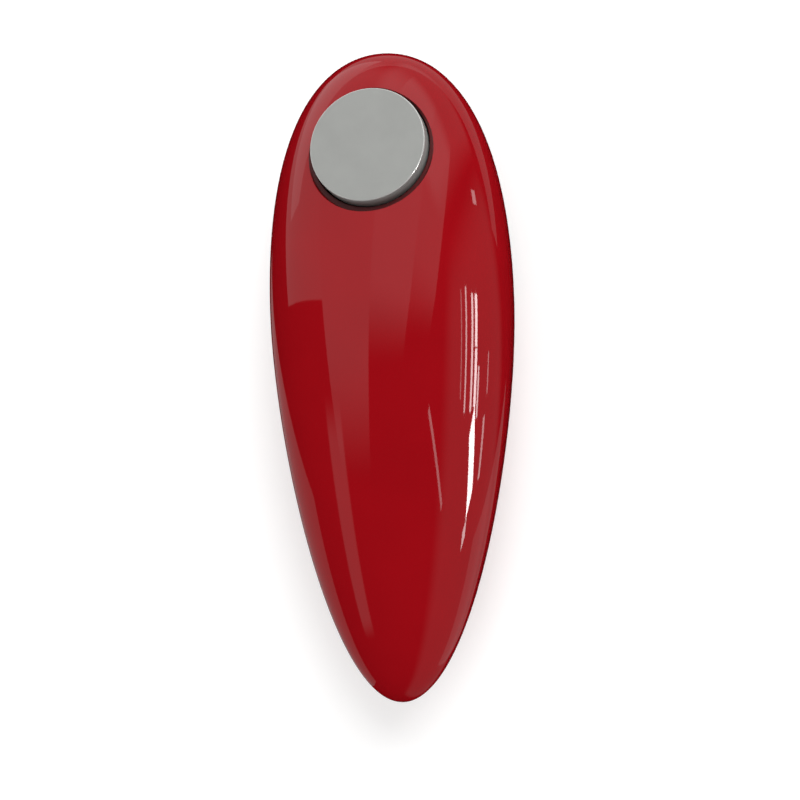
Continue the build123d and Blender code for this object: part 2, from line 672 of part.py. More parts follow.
with BuildPart() as spindle_bush:
    add(turned(SPINDLE, (4.0, RECESS_Z - 0.3, PLATE_TOP)))
    add(turned(SPINDLE, (2.55, RECESS_Z - 1, PLATE_TOP)), mode=Mode.SUBTRACT)
spindle_bush.part.label = "spindle_bush"
export_step(spindle_bush.part, "parts/spindle_bush.step")

with BuildPart() as carrier_bush:
    add(turned(CARRIER, (4.4, RECESS_Z - 0.3, PLATE_TOP)))
    add(turned(CARRIER, (3.05, RECESS_Z - 1, PLATE_TOP)), mode=Mode.SUBTRACT)
carrier_bush.part.label = "carrier_bush"
export_step(carrier_bush.part, "parts/carrier_bush.step")

with BuildPart() as magnet_cup:
    add(turned(MAGNET, (MAGNET_CUP_RADIUS, RECESS_Z - 3.6, RECESS_Z)))
    add(turned(MAGNET, (MAGNET_RADIUS, RECESS_Z - 4, RECESS_Z - 0.8)), mode=Mode.SUBTRACT)
magnet_cup.part.label = "magnet_cup"
export_step(magnet_cup.part, "parts/magnet_cup.step")

with BuildPart() as lid_magnet:
    add(turned(MAGNET, (MAGNET_RADIUS, RECESS_Z - 4, RECESS_Z - 0.8)))
lid_magnet.part.label = "lid_magnet"
export_step(lid_magnet.part, "parts/lid_magnet.step")

# ---------------------------------------------------------------- gearbox frame

board_underside = BUTTON_PLANE.offset(BOARD_TOP - BOARD_THICKNESS)
board_posts = [
    split(turned((x, 56.6), (1.6, TOP_BRIDGE[1] - 1, 44)), bisect_by=board_underside, keep=Keep.BOTTOM)
    for x in (-7.0, 7.0)
]

with BuildPart() as gearbox_frame:
    add(bridge_plate(POSTS + (SECOND_SHAFT, FIRST_SHAFT, (0.0, 48.0)), TOP_BRIDGE))
    for centre in POSTS:
        add(turned(centre, (POST_RADIUS, PLATE_TOP, TOP_BRIDGE[1])))
    for post in board_posts:
        add(post)
    add(block((0, 45.3), 8.4, 1.4, MOTOR_Z - 4.5, TOP_BRIDGE[1]))
    with BuildSketch(Plane(origin=(0, MOTOR_FRONT, MOTOR_Z), z_dir=(0, 1, 0))):
        Circle(3.0)
    extrude(amount=2, mode=Mode.SUBTRACT)
    for centre in POSTS:
        add(turned(centre, (1.0, PLATE_TOP, PLATE_TOP + 6)), mode=Mode.SUBTRACT)
    for centre in (FIRST_SHAFT, SECOND_SHAFT):
        add(turned(centre, (AXLE_RADIUS, TOP_BRIDGE[0], TOP_BRIDGE[1])), mode=Mode.SUBTRACT)
gearbox_frame.part.label = "gearbox_frame"
export_step(gearbox_frame.part, "parts/gearbox_frame.step")

with BuildPart() as gearbox_midplate:
    add(bridge_plate(POSTS + (SPINDLE,), MIDPLATE))
    for centre in POSTS:
        add(turned(centre, (POST_RADIUS, MIDPLATE[0], MIDPLATE[1])), mode=Mode.SUBTRACT)
    add(turned(SECOND_SHAFT, (2.9, MIDPLATE[0], MIDPLATE[1])), mode=Mode.SUBTRACT)
    add(turned(FIRST_SHAFT, (AXLE_RADIUS, MIDPLATE[0], MIDPLATE[1])), mode=Mode.SUBTRACT)
    add(turned(SPINDLE, (2.05, MIDPLATE[0], MIDPLATE[1])), mode=Mode.SUBTRACT)
gearbox_midplate.part.label = "gearbox_midplate"
export_step(gearbox_midplate.part, "parts/gearbox_midplate.step")

with BuildPart() as first_axle:
    add(turned(FIRST_SHAFT, (AXLE_RADIUS, MIDPLATE[0], TOP_BRIDGE[1])))
first_axle.part.label = "first_axle"
export_step(first_axle.part, "parts/first_axle.step")

with BuildPart() as second_axle:
    add(turned(SECOND_SHAFT, (AXLE_RADIUS, RECESS_Z + 0.8, TOP_BRIDGE[1])))
second_axle.part.label = "second_axle"
export_step(second_axle.part, "parts/second_axle.step")

# ---------------------------------------------------------------- gears

with BuildPart() as first_gear:
    add(gear(FIRST_SHAFT, WORM_WHEEL_TEETH, FINE, 180, WORM_WHEEL_LAYER))
    pinion_layer = (SECOND_LAYER[0], WORM_WHEEL_LAYER[0])
    add(gear(FIRST_SHAFT, PINION_TEETH, FINE, bearing(FIRST_SHAFT, SECOND_SHAFT), pinion_layer))
    add(turned(FIRST_SHAFT, (2.4, WORM_WHEEL_LAYER[1], TOP_BRIDGE[0] - 0.3)))
    bore = (AXLE_RADIUS + RUNNING_GAP, MIDPLATE[1], TOP_BRIDGE[0])
    add(turned(FIRST_SHAFT, bore), mode=Mode.SUBTRACT)
first_gear.part.label = "first_gear"
export_step(first_gear.part, "parts/first_gear.step")

with BuildPart() as second_gear:
    facing = gap_facing(SECOND_SHAFT, FIRST_SHAFT, WHEEL_TEETH)
    add(gear(SECOND_SHAFT, WHEEL_TEETH, FINE, facing, SECOND_LAYER))
    add(turned(SECOND_SHAFT, (2.5, FINAL_LAYER[1], SECOND_LAYER[0])))
    add(gear(SECOND_SHAFT, PINION_TEETH, COARSE, bearing(SECOND_SHAFT, SPINDLE), FINAL_LAYER))
    add(turned(SECOND_SHAFT, (1.8, PLATE_TOP + 0.3, FINAL_LAYER[0])))
    add(turned(SECOND_SHAFT, (1.8, SECOND_LAYER[1], TOP_BRIDGE[0] - 0.3)))
    bore = (AXLE_RADIUS + RUNNING_GAP, PLATE_TOP, TOP_BRIDGE[0])
    add(turned(SECOND_SHAFT, bore), mode=Mode.SUBTRACT)
second_gear.part.label = "second_gear"
export_step(second_gear.part, "parts/second_gear.step")

with BuildPart() as spindle:
    add(turned(SPINDLE, (SPINDLE_RADIUS, DRIVE_BOTTOM - NUT_HEIGHT, FINAL_LAYER[1])))
    add(turned(SPINDLE, (2.0, FINAL_LAYER[1], MIDPLATE[1])))
spindle.part.label = "spindle"
export_step(spindle.part, "parts/spindle.step")

with BuildPart() as final_gear:
    add(gear(SPINDLE, WHEEL_TEETH, COARSE, gap_facing(SPINDLE, SECOND_SHAFT, WHEEL_TEETH), FINAL_LAYER))
    add(turned(SPINDLE, (SPINDLE_RADIUS, FINAL_LAYER[0], FINAL_LAYER[1])), mode=Mode.SUBTRACT)
final_gear.part.label = "final_gear"
export_step(final_gear.part, "parts/final_gear.step")

with BuildPart() as spindle_gear:
    add(gear(SPINDLE, SPINDLE_TEETH, COARSE, bearing(SPINDLE, CARRIER), CLUTCH_LAYER))
    add(turned(SPINDLE, (SPINDLE_RADIUS, CLUTCH_LAYER[0], CLUTCH_LAYER[1])), mode=Mode.SUBTRACT)
spindle_gear.part.label = "spindle_gear"
export_step(spindle_gear.part, "parts/spindle_gear.step")

with BuildPart() as drive_wheel:
    with BuildSketch(Plane.XY.offset(DRIVE_BOTTOM)):
        with BuildLine():
            half_pitch = 180 / DRIVE_TEETH
            corners = [
                polar(SPINDLE, DRIVE_RADIUS - 0.5 * (step % 2), step * half_pitch)
                for step in range(2 * DRIVE_TEETH)
            ]
            Polyline(*corners, close=True)
        make_face()
    extrude(amount=DRIVE_HEIGHT)
    add(turned(SPINDLE, (4.2, DRIVE_BOTTOM + DRIVE_HEIGHT, RECESS_Z - 0.6)))
    add(turned(SPINDLE, (SPINDLE_RADIUS, DRIVE_BOTTOM, RECESS_Z)), mode=Mode.SUBTRACT)
drive_wheel.part.label = "drive_wheel"
export_step(drive_wheel.part, "parts/drive_wheel.step")

with BuildPart() as drive_nut:
    with BuildSketch(Plane.XY.offset(DRIVE_BOTTOM - NUT_HEIGHT)):
        with Locations(SPINDLE):
            RegularPolygon(4.0, 6)
            Circle(SPINDLE_RADIUS, mode=Mode.SUBTRACT)
    extrude(amount=NUT_HEIGHT)
drive_nut.part.label = "drive_nut"
export_step(drive_nut.part, "parts/drive_nut.step")

with BuildPart() as clutch_gear:
    add(gear(CARRIER, CLUTCH_TEETH, COARSE, gap_facing(CARRIER, SPINDLE, CLUTCH_TEETH), CLUTCH_LAYER))
    bore = (CARRIER_RADIUS + RUNNING_GAP, CLUTCH_LAYER[0], CLUTCH_LAYER[1])
    add(turned(CARRIER, bore), mode=Mode.SUBTRACT)
clutch_gear.part.label = "clutch_gear"
export_step(clutch_gear.part, "parts/clutch_gear.step")

# ---------------------------------------------------------------- cutter

with BuildPart() as carrier_shaft:
    add(turned(CARRIER, (CARRIER_RADIUS, ARM_LAYER[0], 20.4)))
carrier_shaft.part.label = "carrier_shaft"
export_step(carrier_shaft.part, "parts/carrier_shaft.step")

with BuildPart() as clutch_spring:
    add(turned(CARRIER, (3.7, 17.7, 18.9)))
    add(turned(CARRIER, (CARRIER_RADIUS, 17.0, 19.0)), mode=Mode.SUBTRACT)
clutch_spring.part.label = "clutch_spring"
export_step(clutch_spring.part, "parts/clutch_spring.step")

with BuildPart() as clutch_ring:
    add(turned(CARRIER, (3.7, 18.9, 20.0)))
    add(turned(CARRIER, (CARRIER_RADIUS, 18.0, 21.0)), mode=Mode.SUBTRACT)
clutch_ring.part.label = "clutch_ring"
export_step(clutch_ring.part, "parts/clutch_ring.step")

with BuildPart() as cutter_arm:
    with BuildSketch(Plane.XY.offset(ARM_LAYER[0])):
        with Locations(CARRIER):
            Circle(5.0)
        with Locations(CUTTER):
            Circle(3.2)
        make_hull()
        with Locations(CARRIER):
            Circle(CARRIER_RADIUS, mode=Mode.SUBTRACT)
        with Locations(CUTTER):
            Circle(1.5, mode=Mode.SUBTRACT)
    extrude(amount=ARM_LAYER[1] - ARM_LAYER[0])
cutter_arm.part.label = "cutter_arm"
export_step(cutter_arm.part, "parts/cutter_arm.step")

with BuildPart() as cutter_axle:
    add(turned(CUTTER, (2.8, 6.6, 7.7), (1.5, 7.7, ARM_LAYER[1])))
cutter_axle.part.label = "cutter_axle"
export_step(cutter_axle.part, "parts/cutter_axle.step")

with BuildPart() as cutter_wheel:
    low = CUTTER_Z - CUTTER_THICKNESS / 2
    edge = CUTTER_RADIUS - 1.2
    with BuildSketch(Plane(origin=(CUTTER[0], CUTTER[1], 0), x_dir=(1, 0, 0), z_dir=(0, -1, 0))):
        with BuildLine():
            Polyline((1.55, low), (edge, low), (CUTTER_RADIUS, CUTTER_Z), (edge, low + CUTTER_THICKNESS),
                     (1.55, low + CUTTER_THICKNESS), close=True)
        make_face()
    revolve(axis=Axis((CUTTER[0], CUTTER[1], 0), (0, 0, 1)))
cutter_wheel.part.label = "cutter_wheel"
export_step(cutter_wheel.part, "parts/cutter_wheel.step")

# ---------------------------------------------------------------- leads

LEAD_RADIUS = 0.6


def lead(*route):
    """Insulated lead with a round bend at every corner of its route."""
    with BuildPart() as made:
        with BuildLine() as path:
            FilletPolyline(*route, radius=2.5)
        with BuildSketch(Plane(origin=path.line @ 0, z_dir=path.line % 0)):
            Circle(LEAD_RADIUS)
        sweep()
    return made.part


def lead_route(side):
    """Corners of a lead's way from the cells over the motor to the switch board."""
    return (
        (side * 12.5, 17.9, 35.0),
        (side * 12.5, 18.9, 41.0),
        (side * 12.5, 40.0, 41.0),
        (side * 12.5, 47.0, 37.2),
        (side * 9.0, 53.2, 37.2),
    )


with BuildPart() as red_lead:
    add(lead(*lead_route(1)))
red_lead.part.label = "red_lead"
export_step(red_lead.part, "parts/red_lead.step")

with BuildPart() as black_lead:
    add(lead(*lead_route(-1)))
black_lead.part.label = "black_lead"
export_step(black_lead.part, "parts/black_lead.step")
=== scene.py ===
"""Looks of the battery can opener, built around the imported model. Metres, +Z up, +Y to the head."""

import json
import math

import bmesh
import bpy
import numpy as np
from mathutils import Matrix, Vector


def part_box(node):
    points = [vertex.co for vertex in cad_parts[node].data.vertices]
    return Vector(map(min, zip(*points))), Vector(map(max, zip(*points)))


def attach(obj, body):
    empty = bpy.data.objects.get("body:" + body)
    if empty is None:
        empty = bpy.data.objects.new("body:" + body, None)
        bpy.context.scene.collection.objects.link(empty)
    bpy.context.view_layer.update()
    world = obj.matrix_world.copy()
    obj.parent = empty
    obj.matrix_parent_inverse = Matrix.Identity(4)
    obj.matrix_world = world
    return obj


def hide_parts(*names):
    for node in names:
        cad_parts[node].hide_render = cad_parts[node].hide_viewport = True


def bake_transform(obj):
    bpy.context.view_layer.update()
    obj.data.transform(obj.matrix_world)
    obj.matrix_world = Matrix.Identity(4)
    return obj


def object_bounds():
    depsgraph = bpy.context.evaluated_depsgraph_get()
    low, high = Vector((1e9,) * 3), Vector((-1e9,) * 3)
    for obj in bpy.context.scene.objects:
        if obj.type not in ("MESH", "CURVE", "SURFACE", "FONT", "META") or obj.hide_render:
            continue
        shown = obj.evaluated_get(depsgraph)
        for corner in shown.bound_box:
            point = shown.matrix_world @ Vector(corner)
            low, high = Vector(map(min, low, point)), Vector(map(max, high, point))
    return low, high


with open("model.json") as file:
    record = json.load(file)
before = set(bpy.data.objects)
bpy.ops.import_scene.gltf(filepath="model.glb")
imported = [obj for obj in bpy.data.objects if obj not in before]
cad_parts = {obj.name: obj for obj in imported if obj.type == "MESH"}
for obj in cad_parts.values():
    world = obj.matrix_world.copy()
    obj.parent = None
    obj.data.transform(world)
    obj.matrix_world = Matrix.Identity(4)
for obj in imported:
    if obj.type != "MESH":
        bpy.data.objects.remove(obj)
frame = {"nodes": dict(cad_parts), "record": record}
cad_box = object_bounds()

MM = 0.001

# ---------------------------------------------------------------- the egg's form, from the frame

LOWEST, HIGHEST = (Vector(corner) for corner in cad_box)
TIP = HIGHEST.y
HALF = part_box("upper_shell")[1].x
SEAM = (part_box("upper_shell")[0].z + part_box("lower_shell")[1].z) / 2
CROWN = HIGHEST.z - SEAM
BELLY = 33 * MM
WALL = 2.2 * MM
WIDEST = 19 * MM
HEAD_PULL = 17 / 32.5
TAIL_PULL = 19 / 32.5
HEAD_SHOULDER = 0.727
TAIL_SHOULDER = 0.346
TIP_WIDTH = 1.5 * MM


def bezier(points, t):
    """Points of a cubic curve at the parameters t."""
    a, b, c, d = (np.array(point, float) for point in points)
    t = np.asarray(t, float)[:, None]
    return (1 - t) ** 3 * a + 3 * (1 - t) ** 2 * t * b + 3 * (1 - t) * t**2 * c + t**3 * d


def outline(inset, samples):
    """Right-hand plan outline from the tail tip to the head tip, as (half width, y) rows."""
    tip, half = TIP - inset, HALF - inset
    head_shoulder = WIDEST + (tip - WIDEST) * HEAD_SHOULDER
    tail_shoulder = WIDEST - (tip + WIDEST) * TAIL_SHOULDER
    tail = ((0, -tip), (half * TAIL_PULL, -tip), (half, tail_shoulder), (half, WIDEST))
    head = ((half, WIDEST), (half, head_shoulder), (half * HEAD_PULL, tip), (0, tip))
    steps = np.linspace(0, 1, samples)
    return np.vstack([bezier(tail, steps), bezier(head, steps)[1:]])


FINE_OUTLINES = {inset: outline(inset, 2000) for inset in (0.0, WALL)}


def half_width(y, inset=0.0):
    """Half width of the egg at y."""
    rows = FINE_OUTLINES[inset]
    return float(np.interp(y, rows[:, 1], rows[:, 0]))


def egg_normal(point, rise, inset=0.0):
    """Outward normal of the egg's surface at a point on it."""
    step = 0.2 * MM
    width = half_width(point.y, inset)
    slope = (half_width(point.y + step, inset) - half_width(point.y - step, inset)) / (2 * step)
    flat = rise / (HALF - inset)
    normal = Vector((point.x, -width * slope, (point.z - SEAM) / flat**2))
    if width < TIP_WIDTH:
        normal = Vector((0, math.copysign(1, point.y), 0))
    return normal.normalized()


# ---------------------------------------------------------------- mesh helpers


def new_piece(name, mesh_data, body, material, smooth=True):
    """Finishes a bmesh into an object that rides on a body."""
    mesh = bpy.data.meshes.new(name)
    mesh_data.to_mesh(mesh)
    mesh_data.free()
    piece = bpy.data.objects.new(name, mesh)
    bpy.context.scene.collection.objects.link(piece)
    for polygon in mesh.polygons:
        polygon.use_smooth = smooth
    mesh.materials.append(material)
    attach(piece, body)
    return piece


def smoothstep(x):
    """Smooth rise from 0 to 1."""
    x = min(1.0, max(0.0, x))
    return x * x * (3 - 2 * x)


def lathe(name, profile, base, axis, body, material, segments=96):
    """Closed turned piece: profile is (radius, height) pairs from the axis out and back."""
    turn = Vector((0, 0, 1)).rotation_difference(Vector(axis)).to_matrix().to_4x4()
    place = Matrix.Translation(Vector(base)) @ turn
    mesh = bmesh.new()
    rings = []
    for radius, height in profile:
        if radius < 1e-7:
            rings.append([mesh.verts.new(place @ Vector((0, 0, height)))] * segments)
            continue
        angles = [2 * math.pi * step / segments for step in range(segments)]
        around = [(radius * math.cos(angle), radius * math.sin(angle)) for angle in angles]
        rings.append([mesh.verts.new(place @ Vector((x, y, height))) for x, y in around])
    for low, high in zip(rings, rings[1:]):
        for step in range(segments):
            after = (step + 1) % segments
            corners = (low[step], low[after], high[after], high[step])
            corners = [c for index, c in enumerate(corners) if c not in corners[:index]]
            if len(corners) > 2:
                mesh.faces.new(corners)
    bmesh.ops.recalc_face_normals(mesh, faces=mesh.faces)
    return new_piece(name, mesh, body, material)


def smooth_by_angle(piece, degrees=30):
    """Shades smooth except across edges sharper than the angle."""
    with bpy.context.temp_override(object=piece, selected_editable_objects=[piece]):
        bpy.ops.object.shade_smooth_by_angle(angle=math.radians(degrees))


# ---------------------------------------------------------------- materials


def surface(
    name, colour, roughness, metallic=0.0, coat=0.0, spread=0.08, patch=4.0, grain=0.3,
    depth=0.004, stretch=(1, 1, 1),
):
    """Procedural finish: mottled colour, drifting roughness and a fine grain. Lengths in mm."""
    material = bpy.data.materials.new(name)
    material.use_nodes = True
    nodes, links = material.node_tree.nodes, material.node_tree.links
    shader = nodes["Principled BSDF"]
    shader.inputs["Metallic"].default_value = metallic
    shader.inputs["Coat Weight"].default_value = coat
    shader.inputs["Specular IOR Level"].default_value = 0.0 if coat == 1 else 0.5
    shader.inputs["Coat Roughness"].default_value = 0.03
    place = nodes.new("ShaderNodeTexCoord")
    mapping = nodes.new("ShaderNodeMapping")
    mapping.inputs["Scale"].default_value = stretch
    links.new(place.outputs["Object"], mapping.inputs["Vector"])
    patches = nodes.new("ShaderNodeTexNoise")
    patches.inputs["Scale"].default_value = 1 / (patch * MM)
    patches.inputs["Detail"].default_value = 4
    links.new(mapping.outputs["Vector"], patches.inputs["Vector"])
    ramp = nodes.new("ShaderNodeValToRGB")
    ramp.color_ramp.elements[0].position = 0.3
    ramp.color_ramp.elements[1].position = 0.7
    ramp.color_ramp.elements[0].color = (*[channel * (1 - spread) for channel in colour], 1)
    ramp.color_ramp.elements[1].color = (*[min(1, channel * (1 + spread)) for channel in colour], 1)
    links.new(patches.outputs["Fac"], ramp.inputs["Fac"])
    links.new(ramp.outputs["Color"], shader.inputs["Base Color"])
    drift = nodes.new("ShaderNodeMapRange")
    drift.inputs["To Min"].default_value = roughness * 0.85
    drift.inputs["To Max"].default_value = roughness * 1.15
    links.new(patches.outputs["Fac"], drift.inputs["Value"])
    links.new(drift.outputs["Result"], shader.inputs["Roughness"])
    grains = nodes.new("ShaderNodeTexNoise")
    grains.inputs["Scale"].default_value = 1 / (grain * MM)
    grains.inputs["Detail"].default_value = 3
    links.new(mapping.outputs["Vector"], grains.inputs["Vector"])
    bump = nodes.new("ShaderNodeBump")
    bump.inputs["Distance"].default_value = depth * MM
    bump.inputs["Strength"].default_value = 1
    links.new(grains.outputs["Fac"], bump.inputs["Height"])
    links.new(bump.outputs["Normal"], shader.inputs["Normal"])
    return material


RED = surface(
    "red_lacquer", (0.262, 0.003, 0.006), 0.5, coat=1.0, spread=0.05, patch=25, grain=6, depth=0.006
)
# Uncoated red for the button pocket: the missing coat is the finish, the much darker colour is painted
# shade of the recess.
RECESS_PAINTED_SHADE = surface("unpolished_red_painted_shade", (0.07, 0.001, 0.0015), 0.55, spread=0.12, patch=2, grain=0.2)
SILVER = surface(
    "satin_silver", (0.30, 0.305, 0.292), 0.42, metallic=0.25, spread=0.03, patch=6, grain=0.12,
    depth=0.003,
)
# Rim of the button: smoother and more metallic than the face, with a lighter colour that is a painted
# highlight along the edge.
EDGE_PAINTED_HIGHLIGHT = surface(
    "polished_edge_painted_highlight", (0.72, 0.71, 0.69), 0.22, metallic=0.6, spread=0.04, patch=3, grain=0.2,
    depth=0.001,
)
SEAL = surface("seal_rubber", (0.035, 0.006, 0.007), 0.6, spread=0.2, patch=2, grain=0.2)
BLACK = surface("black_plastic", (0.022, 0.022, 0.024), 0.5, spread=0.15, patch=3, grain=0.16, depth=0.012)
DARK = surface("dark_plastic", (0.05, 0.05, 0.055), 0.45, spread=0.12, patch=3, grain=0.2, depth=0.008)
NATURAL = surface("natural_acetal", (0.68, 0.66, 0.60), 0.38, spread=0.05, patch=5, grain=0.4, depth=0.003)
STEEL = surface(
    "turned_steel", (0.50, 0.50, 0.49), 0.28, metallic=1.0, spread=0.08, patch=2, grain=0.25,
    stretch=(1, 1, 8),
)
EDGE_STEEL = surface(
    "ground_steel", (0.60, 0.60, 0.60), 0.2, metallic=1.0, spread=0.06, patch=2, grain=0.15,
    stretch=(8, 1, 1),
)
ZINC = surface("zinc_plate", (0.50, 0.50, 0.53), 0.33, metallic=1.0, spread=0.14, patch=1.2, grain=0.3)
NICKEL = surface("nickel_plate", (0.62, 0.60, 0.56), 0.2, metallic=1.0, spread=0.05, patch=2, grain=0.4)
BRASS = surface("machined_brass", (0.60, 0.42, 0.15), 0.25, metallic=1.0, spread=0.1, patch=2, grain=0.2)
BRONZE = surface(
    "sintered_bronze", (0.42, 0.26, 0.11), 0.5, metallic=1.0, spread=0.25, patch=0.4, grain=0.15,
    depth=0.015,
)
MAGNET = surface("plated_magnet", (0.40, 0.40, 0.41), 0.22, metallic=1.0, spread=0.06, patch=3, grain=0.5)
FERRITE = surface("ferrite", (0.04, 0.04, 0.042), 0.7, spread=0.25, patch=0.6, grain=0.1, depth=0.02)
BOARD = surface("solder_mask", (0.015, 0.14, 0.05), 0.3, coat=0.4, spread=0.15, patch=1.5, grain=0.5)
JACKET = surface("cell_sleeve", (0.03, 0.03, 0.034), 0.25, coat=0.6, spread=0.1, patch=5, grain=1.5)
RED_WIRE = surface("red_insulation", (0.42, 0.015, 0.015), 0.45, spread=0.06, patch=2, grain=0.3)
BLACK_WIRE = surface("black_insulation", (0.02, 0.02, 0.02), 0.45, spread=0.15, patch=2, grain=0.3)

FINISHES = {
    "red_shell": RED, "silver_button": SILVER, "gasket": SEAL, "black_plastic": BLACK,
    "dark_plastic": DARK, "white_plastic": NATURAL, "steel": STEEL, "cutter_steel": EDGE_STEEL,
    "zinc": ZINC, "nickel": NICKEL, "brass": BRASS, "bronze": BRONZE, "magnet": MAGNET,
    "ferrite": FERRITE, "board": BOARD, "cell_jacket": JACKET, "red_insulation": RED_WIRE,
    "black_insulation": BLACK_WIRE,
}

for part in frame["record"]["subparts"]:
    cad_mesh = frame["nodes"][part["node"]].data
    cad_mesh.materials.clear()
    cad_mesh.materials.append(FINISHES[part["material_slot"]])

# ---------------------------------------------------------------- upper shell

BUTTON_TILT = math.radians(11.5)
BUTTON_AXIS = Vector((0, math.sin(BUTTON_TILT), math.cos(BUTTON_TILT)))
BUTTON_UP = Vector((0, math.cos(BUTTON_TILT), -math.sin(BUTTON_TILT)))
BUTTON_Y = 58.5 * MM
BUTTON_SEAT = Vector((0, BUTTON_Y, SEAM + half_width(BUTTON_Y) * CROWN / HALF))
HOLE = 15.5 * MM
POCKET = 16.4 * MM
POCKET_SHIFT = -0.8 * MM
COLLAR_OUTSIDE = 18.0 * MM
LAND = -3.4 * MM
COLLAR = -6.5 * MM
RIM_ROUND = 0.2 * MM
SEAM_HALF_GAP = 0.3 * MM
POCKET_EDGE = 0.25 * MM
OUTER_CLEARANCE = 18.8 * MM
INNER_CLEARANCE = 19.2 * MM
FIRST_RING = 18.2 * MM
RING_STEP = 0.09
STITCH_REACH = 24 * MM
STITCH_DEPTH = -14 * MM
SEARCH_DEPTH = -16 * MM
AROUND = 240
GRID = 120
ON_EGG = 0.03 * MM
SAME_SIDE = 0.94
SAME_FACE = 0.82


def from_button(point):
    """A point's distance from the button's axis, and its height along it."""
    offset = point - BUTTON_SEAT
    height = offset.dot(BUTTON_AXIS)
    return (offset - BUTTON_AXIS * height).length, height


def pocket_reach(x, along):
    """Distance from the middle of the pocket, in the plane of the button's face."""
    return math.hypot(x, along - POCKET_SHIFT)


def button_point(radius, angle, height):
    """Point in the button's own cylinder coordinates."""
    across = Vector((1, 0, 0)) * math.cos(angle) + BUTTON_UP * math.sin(angle)
    return BUTTON_SEAT + across * radius + BUTTON_AXIS * height


def crown_depth(radius, angle, inset):
    """Height of the egg's surface in the button's coordinates, found by halving."""
    flat = (CROWN - inset) / (HALF - inset)
    low, high = SEARCH_DEPTH, 2 * MM
    for _ in range(32):
        middle = (low + high) / 2
        point = button_point(radius, angle, middle)
        reach = math.hypot(point.x, (point.z - SEAM) / flat)
        if reach > half_width(point.y, inset):
            high = middle
        else:
            low = middle
    return low


def crown_sheet(mesh, inset, clearance, samples, spans):
    """Grid over the crown with a hole left round the button. Returns the rows of the grid."""
    rows = outline(inset, samples)
    flat = (CROWN - inset) / (HALF - inset)
    columns = [math.pi * step / spans for step in range(spans + 1)]
    grid = []
    for width, y in rows:
        line = []
        for angle in columns:
            z = SEAM + max(flat * width * math.sin(angle), SEAM_HALF_GAP)
            line.append(mesh.verts.new((width * math.cos(angle), y, z)))
        grid.append(line)
    for low, high in zip(grid, grid[1:]):
        for left, right in zip(range(spans), range(1, spans + 1)):
            corners = (low[left], low[right], high[right], high[left])
            reach = min(from_button(corner.co)[0] for corner in corners)
            if reach > clearance or (corners[0].co - BUTTON_SEAT).z < SEARCH_DEPTH:
                mesh.faces.new(corners)
    return grid


def ring_of(mesh, radius, heights):
    """Ring of points round the button at one radius."""
    turn = 2 * math.pi / len(heights)
    points = [button_point(radius, step * turn, height) for step, height in enumerate(heights)]
    return [mesh.verts.new(point) for point in points]


def join_rings(mesh, first, second):
    """Band of faces between two rings."""
    for step in range(len(first)):
        after = (step + 1) % len(first)
        mesh.faces.new((first[step], first[after], second[after], second[step]))


def stitch(mesh, grid, ring):
    """Fills the gap between a grid's round hole and a ring."""
    mesh.edges.ensure_lookup_table()
    members = {vertex for line in grid for vertex in line}
    edges = []
    for edge in mesh.edges:
        if not edge.is_boundary or not all(vertex in members for vertex in edge.verts):
            continue
        middle = (edge.verts[0].co + edge.verts[1].co) / 2
        near = from_button(middle)[0] < STITCH_REACH
        if near and (middle - BUTTON_SEAT).z > STITCH_DEPTH:
            edges.append(edge)
    edges += [mesh.edges.get((a, b)) for a, b in zip(ring, ring[1:] + ring[:1])]
    bmesh.ops.triangle_fill(mesh, edges=edges, use_beauty=True, normal=BUTTON_AXIS)


def make_upper_shell():
    """Upper shell: crown, button pocket with soft edges, collar, inner face and seam face."""
    mesh = bmesh.new()
    turns = [2 * math.pi * step / AROUND for step in range(AROUND)]
    outer_grid = crown_sheet(mesh, 0.0, OUTER_CLEARANCE, GRID, GRID)
    inner_grid = crown_sheet(mesh, WALL, INNER_CLEARANCE, GRID, GRID)
    outside = [18.2, 17.9] + [17.7 - RING_STEP * step for step in range(21)]
    rim_steps = [HOLE + RIM_ROUND * (1 - math.sin(math.radians(lean))) for lean in range(0, 91, 15)]
    rings = []
    for radius in [value * MM for value in outside] + rim_steps:
        over = max(0.0, HOLE + RIM_ROUND - radius)
        drop = RIM_ROUND - math.sqrt(max(0.0, RIM_ROUND**2 - over**2))
        heights = []
        for angle in turns:
            height = crown_depth(radius, angle, 0.0)
            reach = pocket_reach(radius * math.cos(angle), radius * math.sin(angle))
            sunk = smoothstep((POCKET + POCKET_EDGE - reach) / (2 * POCKET_EDGE))
            heights.append(height - sunk * max(0.0, height - LAND) - drop)
        rings.append(ring_of(mesh, radius, heights))
    rings.append(ring_of(mesh, HOLE, [COLLAR] * AROUND))
    rings.append(ring_of(mesh, COLLAR_OUTSIDE, [COLLAR] * AROUND))
    for radius in (COLLAR_OUTSIDE, FIRST_RING):
        rings.append(ring_of(mesh, radius, [crown_depth(radius, angle, WALL) for angle in turns]))
    for first, second in zip(rings, rings[1:]):
        join_rings(mesh, first, second)
    stitch(mesh, outer_grid, rings[0])
    stitch(mesh, inner_grid, rings[-1])
    for side in (0, -1):
        for low in range(len(outer_grid) - 1):
            corners = (outer_grid[low][side], outer_grid[low + 1][side])
            corners += (inner_grid[low + 1][side], inner_grid[low][side])
            mesh.faces.new(corners)
    bmesh.ops.remove_doubles(mesh, verts=mesh.verts, dist=1e-7)
    bmesh.ops.recalc_face_normals(mesh, faces=mesh.faces)
    return new_piece("upper_shell_skin", mesh, "housing", RED)


def egg_side(point, upper):
    """Which egg surface a point lies on: its inset, or None."""
    for inset in (0.0, WALL):
        rise = (CROWN if upper else BELLY) - inset
        reach = math.hypot(point.x, (point.z - SEAM) / (rise / (HALF - inset)))
        if abs(reach - half_width(point.y, inset)) < ON_EGG:
            return inset
    return None


